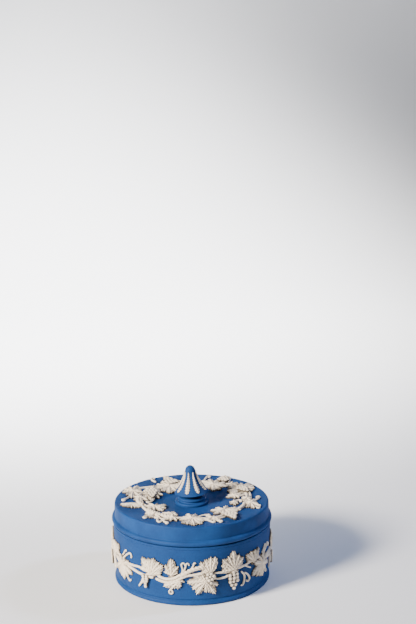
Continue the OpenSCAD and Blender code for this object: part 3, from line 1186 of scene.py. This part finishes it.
WALL_BUNCHES = (
    Bunch(-34.6, 13.4, Grapes(8.5, 4.6, 1.2, seed=3), 176),
    Bunch(12.4, 18.2, Grapes(8, 6, 1.15, lift=1.45, seed=5), 170),
    Bunch(30.0, 13.6, Grapes(11.5, 8.6, 1.35, seed=8), 178),
)


@dataclass
class WallGarland:
    """The vine garland round the body, in equal runs."""

    sizes: Sizes
    palette: Palette
    runs: int = 3
    arc_mm: float = 0.848  # length of one degree along the wall

    def xy(self, points: Points) -> list[tuple[float, float]]:
        """Turns degrees and heights to millimetres on the run's own ground."""
        return [(p[0] * self.arc_mm, p[1]) for p in points]

    def vine(self, run: int) -> Piece:
        """Rolls the stems and tendrils of one run.

        Args:
            run: Which run, from 1.

        Returns:
            The vine.
        """
        vine = Vine("wall_vine_%d" % run, self.sizes.wall(self.middle(run), 0.0))
        xy = self.xy
        vine.strand(xy([(-54, 20.4), (-47, 20.6), (-41, 21.0), (-36, 19.6)]), 0.71, 0.5)
        vine.strand(xy([(-54, 19.0), (-47, 18.0), (-41, 17.0), (-35, 16.6), (-29, 16.4)]), 0.8, 0.5)
        vine.strand(xy([(-27, 16.2), (-20, 14.9), (-14, 15.4), (-9, 17.8), (-4, 19.8)]), 0.84, 0.6, 0.8)
        vine.strand(xy([(-25, 18.2), (-19, 17.0), (-13, 18.0), (-8, 20.6)]), 0.84, 0.75, 0.9)
        vine.strand(xy([(-9, 19.2), (-3, 20.0), (3, 20.6), (8, 21.4)]), 0.8, 0.6)
        vine.rope(xy([(-9, 19.6), (-5, 21.6), (-1, 23.4), (4, 24.8), (8, 25.2)]), 1.3, 0.9, 4.6)
        vine.strand(xy([(15, 20.6), (20, 20.6), (25, 20.0), (30, 20.6)]), 0.63, 0.5)
        vine.strand(xy([(15, 17.4), (20, 16.8), (25, 17.2), (30, 19.4)]), 0.63, 0.5)
        vine.strand(xy([(34, 20.8), (40, 21.4), (46, 22.4), (52, 22.8), (58, 22.4)]), 0.71, 0.5)
        vine.strand(xy([(41, 21.2), (45, 19.2), (47, 18.4)]), 0.5, 0.5, 0.45)
        vine.strand(xy([(30, 20.5), (30.6, 18.5), (30.4, 17)]), 1.1, 1.0, 0.9)
        vine.strand(xy([(-37, 16), (-39, 12), (-42, 8.4)]), 0.84, 0.6, 0.6)
        vine.strand(xy([(-33, 18.6), (-36, 15.4), (-39, 11)]), 0.67, 0.9, 0.7)
        vine.curl(xy([(-60, 21.5), (-56, 24.6), (-51.5, 27.4)]), 1.7, 1, 0.62, 170)
        vine.curl(xy([(-60, 24.0), (-57.5, 26.4), (-56, 28.0)]), 0.8, 1, 0.55, 120)
        vine.curl(xy([(-7.5, 20.5), (-6.8, 23.5), (-7.6, 26.6)]), 1.2, 1, 0.5, 220)
        vine.curl(xy([(-6.5, 22.0), (-4.8, 25.0), (-4.4, 27.0)]), 1.0, 1, 0.5, 200)
        vine.curl(xy([(-1.5, 23.4), (0.4, 25.6), (1.2, 27.6)]), 0.7, 1, 0.5, 120)
        vine.curl(xy([(-13, 13.0), (-15.4, 10.8), (-16.6, 9.6)]), 1.3, -1, 0.52, 330)
        vine.curl(xy([(-16, 14.2), (-18.6, 13.6)]), 1.0, -1, 0.5, 230)
        vine.curl(xy([(37.5, 18.2), (40.6, 15.0), (40.4, 11.4), (39.4, 9.4)]), 0.9, 1, 0.6, 130)
        vine.curl(xy([(40.5, 16.8), (43.5, 15.0), (45.6, 12.6)]), 1.6, 1, 0.6, 200)
        vine.curl(xy([(66, 14.0), (67, 11.0), (68.6, 9.6)]), 1.0, -1, 0.6, 160)
        piece = vine.make(self.palette.white)
        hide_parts("side_stem_%d" % run)
        return piece

    def middle(self, run: int) -> float:
        """Angle of the middle of a run, in degrees from the front."""
        return (run - 1) * 360 / self.runs

    def build(self) -> list[Piece]:
        """Makes every piece of the garland.

        Returns:
            The pieces.
        """
        pieces = []
        for run in range(1, self.runs + 1):
            pieces.append(self.vine(run))
            for i, sprig in enumerate(WALL_LEAVES, 1):
                ground = self.sizes.wall(self.middle(run) + sprig.angle, sprig.height)
                piece = sprig.leaf.press("wall_leaf_%d_%d" % (run, i), ground, sprig.turn, self.palette.white)
                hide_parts("side_leaf_%d_%d" % (run, i))
                pieces.append(piece)
            for i, bunch in enumerate(WALL_BUNCHES, 1):
                ground = self.sizes.wall(self.middle(run) + bunch.angle, bunch.height)
                name = "wall_grapes_%d_%d" % (run, i)
                piece = bunch.grapes.make(name, ground, bunch.turn, self.palette.white)
                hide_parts("side_grapes_%d_%d" % (run, i))
                pieces.append(piece)
        for piece in pieces:
            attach(piece, BODY)
        return pieces


# Middle of each leaf (right, back), and turn and reach of each lobe, clockwise from the back.
LID_LEAVES = (
    ((0, -35), full_leaf((-12, 11), (14, 10.5), (-50, 8), (50, 7.5), (-95, 7.8), (90, 7.2), (-140, 9.5),
        (-165, 10), (172, 11), (145, 10.5), (120, 8.5), heart=6, seed=0.2)),
    ((20, -20), full_leaf((10, 8.8), (-40, 8.2), (-85, 8.8), (-130, 9.2), (60, 9.2), (100, 9), (150, 7.5),
        (-168, 7.5), heart=5, seed=1.2)),
    ((26.5, -6.5), full_leaf((0, 4.8), (50, 3.6), (-60, 3.6), (180, 5), (120, 3.4), (-130, 3.8), seed=2.1)),
    ((37, -10), full_leaf((15, 8.8), (60, 5), (-30, 6.4), (130, 7.6), (172, 8.2), (-150, 7), (-90, 4.6),
        (95, 4.8), heart=3, seed=3.0)),
    ((32, 18), full_leaf((30, 11), (0, 10), (60, 10), (92, 8.8), (125, 8.4), (-35, 9), (-75, 9.4), (-112,
        10.4), (-140, 12), (170, 9), (150, 9), heart=6, seed=4.4)),
    ((14, 25), full_leaf((-40, 12), (-12, 12), (18, 11), (-80, 9.2), (-125, 9.4), (60, 9.4), (98, 8.6),
        (150, 9.4), (180, 9.2), heart=6, seed=5.0)),
    ((-14, 24), full_leaf((180, 11.4), (150, 9.4), (-150, 10), (118, 8.4), (-110, 9.2), (88, 9), (-70, 9.4),
        (-30, 10.4), (20, 12), (58, 9), heart=6, seed=6.2)),
    ((-25, 12), full_leaf((4, 14), (30, 9.4), (-26, 10), (62, 6.4), (-70, 6.4), (112, 7.4), (150, 9.4),
        (182, 13), (-150, 9.4), (-110, 6.4), spread=19, heart=4, seed=7.7)),
    ((-37, 14), full_leaf((14, 11.4), (-20, 9.4), (46, 7.4), (-60, 7.4), (-100, 7.6), (92, 6), (-150, 8.4),
        (184, 11.4), (152, 9.6), spread=20, heart=4, seed=8.1)),
    ((-23, -12.5), full_leaf((60, 8.8), (100, 7.8), (140, 8.8), (20, 6.6), (-30, 7.4), (-80, 6.2), (-130,
        6.4), (180, 6.4), heart=4, seed=9.4)),
    ((-37, -10.5), full_leaf((-76, 7.8), (-100, 6.4), (90, 7.2), (64, 5), (114, 6.4), (180, 4.4), (142,
        5.2), (-140, 4.6), (0, 3), spread=20, heart=2.2, seed=10.0)),
    ((-13, -26), full_leaf((20, 6.4), (60, 5.2), (-20, 5.4), (-60, 6.2), (100, 5.2), (150, 5), (180, 4.2),
        (-120, 5.2), heart=2.6, seed=11.3)),
)
# Smaller leaves half hidden among the stems: the CAD leaf each belongs with, its middle and its mould.
LID_UNDER_LEAVES = (
    (12, (-22.5, -27), full_leaf((-20, 6.4), (20, 6), (-70, 6.8), (70, 5.6), (150, 6.8), (-150, 6.4), (110,
        5.4), (-110, 6), seed=0.9)),
    (1, (-11, -33.5), full_leaf((-60, 5.2), (-100, 6), (20, 4), (150, 4.6), (-150, 5), (90, 4), seed=1.9)),
    (2, (12.5, -33.5), full_leaf((20, 4.2), (70, 4.6), (120, 5.8), (160, 5.4), (-60, 4), (-140, 4.2),
        seed=2.9)),
    (4, (34.5, -1), full_leaf((0, 6), (40, 4.4), (-40, 5), (90, 3.6), (-90, 4), (150, 5), (-150, 5),
        seed=3.9)),
    (8, (-31.5, 2), full_leaf((0, 5.6), (60, 4.4), (-60, 5.6), (120, 5), (-120, 5.6), (180, 6.4),
        seed=4.9)),
    (6, (26, 25), full_leaf((0, 6), (60, 5), (-60, 5), (120, 5.4), (-120, 5), (180, 5.6), seed=5.9)),
    (5, (27, 5), full_leaf((-60, 5.4), (-100, 5.8), (-20, 5), (60, 5), (140, 4.2), (180, 4), seed=6.9)),
    (7, (-5, 29), full_leaf((0, 8.4), (40, 7.6), (-40, 8), (90, 6), (-90, 6), (150, 5.4), (-150, 5.4),
        seed=7.9)),
)
# The CAD piece each bunch belongs with, its middle, its mould and its turn.
LID_BUNCHES = (
    ("lid_grapes_1", (24.3, -31.6), Grapes(13, 8.5, 1.15, seed=12), 166),
    ("lid_grapes_2", (21, 34.6), Grapes(9, 8.5, 1.2, seed=13), 15),
    ("lid_grapes_3", (-14.5, 32.5), Grapes(13, 10, 1.2, lift=1.3, seed=14), -30),
    ("lid_leaf_7", (-25, 9), Grapes(15, 8, 1.1, lift=1.5, seed=15), 176),
    ("lid_leaf_4", (33, 14), Grapes(11, 8, 1.1, lift=1.5, seed=16), 150),
)


@dataclass
class LidWreath:
    """The vine wreath on the lid's dished top, in plan: right and back from the box's axis."""

    sizes: Sizes
    palette: Palette

    def front_vine(self, vine: Vine) -> None:
        """Rolls the stems and tendrils across the front.

        Args:
            vine: The run they join.
        """
        stem = [(-33, -1), (-31, -9), (-28, -17), (-24, -24), (-17, -29), (-9, -32), (0, -33)]
        vine.strand(stem, 0.86, 0.43)
        vine.rope([(-27, -18), (-23, -23), (-18, -28), (-11, -31)], 1.3, 0.9, 4.2)
        vine.strand([(-26, -23), (-23, -30), (-16, -34)], 0.62, 0.37, 0.6)
        vine.strand([(4, -33), (10, -33.4), (16, -31), (21, -26)], 0.86, 0.43)
        vine.strand([(5, -36), (11, -35.4), (17, -33), (22, -29)], 0.62, 0.37)
        vine.curl([(-25, -26), (-27.6, -28.6), (-29, -30.6)], 1.0, -1, 0.62, 260)
        vine.curl([(-20, -32), (-20.8, -36), (-20, -38.6)], 0.9, -1, 0.62, 240)
        vine.curl([(-18, -35), (-16.4, -38.6), (-14.4, -40.6)], 0.8, 1, 0.62, 220)
        vine.curl([(4, -30), (7, -27.4), (9.4, -26.6)], 1.3, 1, 0.6, 280)
        vine.curl([(12, -34), (15, -37), (17.8, -39)], 0.8, 1, 0.66, 260)
        vine.curl([(9, -35), (11, -38), (12.6, -40)], 0.8, -1, 0.6, 260)

    def right_vine(self, vine: Vine) -> None:
        """Rolls the stems and tendrils round the right.

        Args:
            vine: The run they join.
        """
        vine.strand([(24, -22), (28, -18), (32, -11), (34, -4), (35, 4), (34, 12)], 0.9, 0.43)
        vine.strand([(29, -16), (34, -8), (36.6, 0), (37, 7), (36, 14)], 0.7, 0.43)
        vine.rope([(29, -19), (31.5, -14), (33, -8)], 1.2, 0.9, 4.0)
        vine.strand([(24.6, 4.4), (29, 5.4), (33, 8), (35, 12)], 0.7, 0.37)
        vine.strand([(24, 8.6), (29, 9.4), (33, 13)], 0.7, 0.37)
        vine.strand([(33, 22), (27, 24), (20, 24), (12, 24), (5, 24)], 0.86, 0.43)
        vine.curl([(37, -5), (41, -2), (42.4, 1.4)], 0.9, -1, 0.7, 260)
        vine.curl([(37.5, -13), (39.6, -15.6), (40.4, -17)], 0.8, -1, 0.6, 240)
        vine.curl([(27.4, -3), (29.4, -1.4), (31, -3)], 0.8, 1, 0.6, 200)
        vine.curl([(8, 32), (9, 37), (10.4, 41)], 1.0, 1, 0.66, 280)
        vine.curl([(24, 31), (25, 35.6), (24.6, 39)], 1.0, -1, 0.62, 240)

    def left_vine(self, vine: Vine) -> None:
        """Rolls the stems and tendrils round the left.

        Args:
            vine: The run they join.
        """
        behind = [(6, 25), (-2, 26), (-8, 25), (-14, 24), (-20, 22), (-27, 18), (-32, 11), (-34, 4)]
        vine.strand(behind, 0.86, 0.43)
        vine.strand([(-34, 6), (-34, -1), (-32, -8), (-29, -13)], 0.86, 0.43)
        vine.strand([(-30, 8), (-31, 1), (-30, -6), (-27, -12)], 0.7, 0.37)
        vine.rope([(-33, 2), (-33, -4), (-30, -9)], 1.2, 0.9, 4.0)
        vine.strand([(-20, 25), (-28, 23), (-35, 20)], 0.7, 0.43)
        vine.curl([(-39, 5), (-41, 1.6), (-43, -0.2)], 1.0, -1, 0.66, 250)
        vine.curl([(-24, 1), (-24.8, -2), (-26.4, -3.6)], 1.0, 1, 0.6, 250)
        vine.curl([(-34, -7), (-38, -7), (-42, -8.4)], 0.8, -1, 0.66, 220)
        vine.curl([(-23, 32), (-25.4, 35), (-25.8, 37.6)], 1.0, 1, 0.62, 260)
        vine.curl([(-6, 38), (-3.4, 40.6), (-1, 41)], 0.9, 1, 0.6, 240)

    def build(self) -> list[Piece]:
        """Makes every piece of the wreath.

        Returns:
            The pieces.
        """
        pieces = []
        for i, roll in enumerate((self.front_vine, self.right_vine, self.left_vine), 1):
            vine = Vine("top_vine_%d" % i, self.sizes.top(0, 0))
            roll(vine)
            piece = vine.make(self.palette.white)
            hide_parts("lid_stem_%d" % i)
            pieces.append(piece)
        for i, (place, leaf) in enumerate(LID_LEAVES, 1):
            piece = leaf.press("top_leaf_%d" % i, self.sizes.top(*place), 0.0, self.palette.white)
            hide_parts("lid_leaf_%d" % i)
            pieces.append(piece)
        for i, (leaf_number, place, leaf) in enumerate(LID_UNDER_LEAVES, 1):
            piece = leaf.press("top_under_leaf_%d" % i, self.sizes.top(*place), 0.0, self.palette.white)
            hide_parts("lid_leaf_%d" % leaf_number)
            pieces.append(piece)
        for i, (node, place, grapes, turn) in enumerate(LID_BUNCHES, 1):
            piece = grapes.make("top_grapes_%d" % i, self.sizes.top(*place), turn, self.palette.white)
            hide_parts(node)
            pieces.append(piece)
        for piece in pieces:
            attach(piece, LID)
        return pieces


@dataclass
class Studio:
    """A pale paper sweep, a soft key light, a weaker fill, a spot on the backdrop and the camera."""

    distance: float = 0.94669
    elevation: float = 23.126
    pitch: float = 13.042
    yaw: float = 0.723
    roll: float = -0.367
    lens: float = 85.0
    paper_width: float = 4.0
    paper_front: float = 1.6  # how far the paper comes forward of the box
    paper_rise: float = 1.6  # straight height above its bend
    bend_start: float = 0.8
    bend_r: float = 0.35
    bend_steps: int = 24

    def camera(self) -> None:
        """Places the camera."""
        e, p, y = (math.radians(a) for a in (self.elevation, self.pitch, self.yaw))
        data = bpy.data.cameras.new("camera")
        data.lens = self.lens
        camera = bpy.data.objects.new("camera", data)
        bpy.context.scene.collection.objects.link(camera)
        ahead = Vector((math.sin(y) * math.cos(p), math.cos(y) * math.cos(p), -math.sin(p)))
        right = ahead.cross(Vector((0, 0, 1))).normalized()
        up = right.cross(ahead)
        c, s = math.cos(math.radians(self.roll)), math.sin(math.radians(self.roll))
        across, above = right * c + up * s, up * c - right * s
        turn = Matrix((across, above, -ahead)).transposed().to_4x4()
        place = Vector((0, -self.distance * math.cos(e), self.distance * math.sin(e)))
        camera.matrix_world = Matrix.Translation(place) @ turn
        bpy.context.scene.camera = camera

    def sweep(self) -> None:
        """Makes the floor and backdrop as one curved sheet of paper."""
        mat = bpy.data.materials.new("white_paper_sweep")
        mat.use_nodes = True
        shader = mat.node_tree.nodes["Principled BSDF"]
        shader.inputs["Base Color"].default_value = linear("f2f2f3")
        shader.inputs["Roughness"].default_value = 0.9
        shader.inputs["Specular IOR Level"].default_value = 0.1
        clear_selection()
        bpy.ops.mesh.primitive_plane_add(size=1.0)
        floor = take("paper_sweep")
        floor.scale = (self.paper_width, self.bend_start + self.paper_front, 1.0)
        floor.location = (0, (self.bend_start - self.paper_front) / 2, 0)
        bpy.ops.object.transform_apply(location=True, rotation=True, scale=True)
        for edge in floor.data.edges:
            edge.select = all(floor.data.vertices[i].co.y > 0 for i in edge.vertices)
        for vertex in floor.data.vertices:
            vertex.select = vertex.co.y > 0
        for face in floor.data.polygons:
            face.select = False
        bpy.ops.object.mode_set(mode="EDIT")
        bpy.ops.mesh.select_mode(type="EDGE")
        for k in range(self.bend_steps):
            start, end = (math.pi / 2 * (k + i) / self.bend_steps for i in (0, 1))
            across = self.bend_r * (math.sin(end) - math.sin(start))
            rise = self.bend_r * (math.cos(start) - math.cos(end))
            bpy.ops.mesh.extrude_edges_move(TRANSFORM_OT_translate={"value": (0, across, rise)})
        bpy.ops.mesh.extrude_edges_move(TRANSFORM_OT_translate={"value": (0, 0, self.paper_rise)})
        bpy.ops.mesh.select_mode(type="VERT")
        bpy.ops.object.mode_set(mode="OBJECT")
        bpy.ops.object.shade_smooth()
        floor.data.materials.append(mat)

    def hang(self, name: str, kind: str, place: Sequence[float], aim: Sequence[float], power: float) -> Light:
        """Hangs a lamp.

        Args:
            name: The lamp's name.
            kind: Blender's name for its kind.
            place: Where it hangs, in metres.
            aim: What it points at.
            power: Its power in watts.

        Returns:
            Its light.
        """
        light = bpy.data.lights.new(name, kind)
        light.energy = power
        lamp = bpy.data.objects.new(name, light)
        bpy.context.scene.collection.objects.link(lamp)
        lamp.location = place
        lamp.rotation_euler = (Vector(aim) - Vector(place)).to_track_quat("-Z", "Y").to_euler()
        return light

    def soft_lamp(
        self, name: str, place: Sequence[float], size: float, power: float, hex_colour: str, spread: float
    ) -> None:
        """Hangs a square lamp that points at the box.

        Args:
            name: The lamp's name.
            place: Where it hangs, in metres.
            size: Its side, in metres.
            power: Its power in watts.
            hex_colour: Its colour.
            spread: Full angle of its beam, in degrees.
        """
        light = self.hang(name, "AREA", place, (0, 0, 0.03), power)
        light.spread = math.radians(spread)
        light.size = size
        light.color = linear(hex_colour)[:3]

    def around(self, azimuth: float, height: float, reach: float) -> tuple[float, float, float]:
        """A place round the box.

        Args:
            azimuth: Degrees from the front, positive towards the right.
            height: Degrees above the floor.
            reach: Distance in metres.

        Returns:
            The place.
        """
        a, h = math.radians(azimuth), math.radians(height)
        out = reach * math.cos(h)
        return out * math.sin(a), -out * math.cos(a), reach * math.sin(h) + 0.02

    def build(self) -> None:
        """Sets up the whole studio."""
        self.camera()
        self.sweep()
        self.soft_lamp("key_lamp", self.around(-53, 28, 1.3), 0.28, 4.4, "fff8ee", 50.0)
        self.soft_lamp("fill_lamp", self.around(104, 36, 1.2), 0.12, 0.9, "c4d4ff", 60.0)
        spot = self.hang("top_spot", "SPOT", (-0.22, 0.55, 1.2), (-0.24, 0.71, 0), 400.0)
        spot.spot_size = math.radians(65)
        spot.spot_blend = 1.0
        spot.shadow_soft_size = 0.1
        world = bpy.data.worlds.new("studio_air")
        world.use_nodes = True
        sky = world.node_tree.nodes["Background"]
        sky.inputs["Color"].default_value = linear("a0c0ff")
        sky.inputs["Strength"].default_value = 0.08
        bpy.context.scene.world = world


def main() -> None:
    """Builds the box, its relief and the studio, in order, and reports each piece."""
    logging.basicConfig(level=logging.INFO, format="%(message)s")
    sizes = Sizes.read()
    palette = Palette.build()
    Studio().build()
    pieces = []
    for part in (Pots, Knob, WallGarland, LidWreath):
        made = part(sizes, palette).build()
        log.info("%s: %d pieces", part.__name__, len(made))
        pieces += made
    for piece in pieces:
        log.info("  %s: %d faces", piece.name, len(piece.data.polygons))


if __name__ == "__main__":
    main()
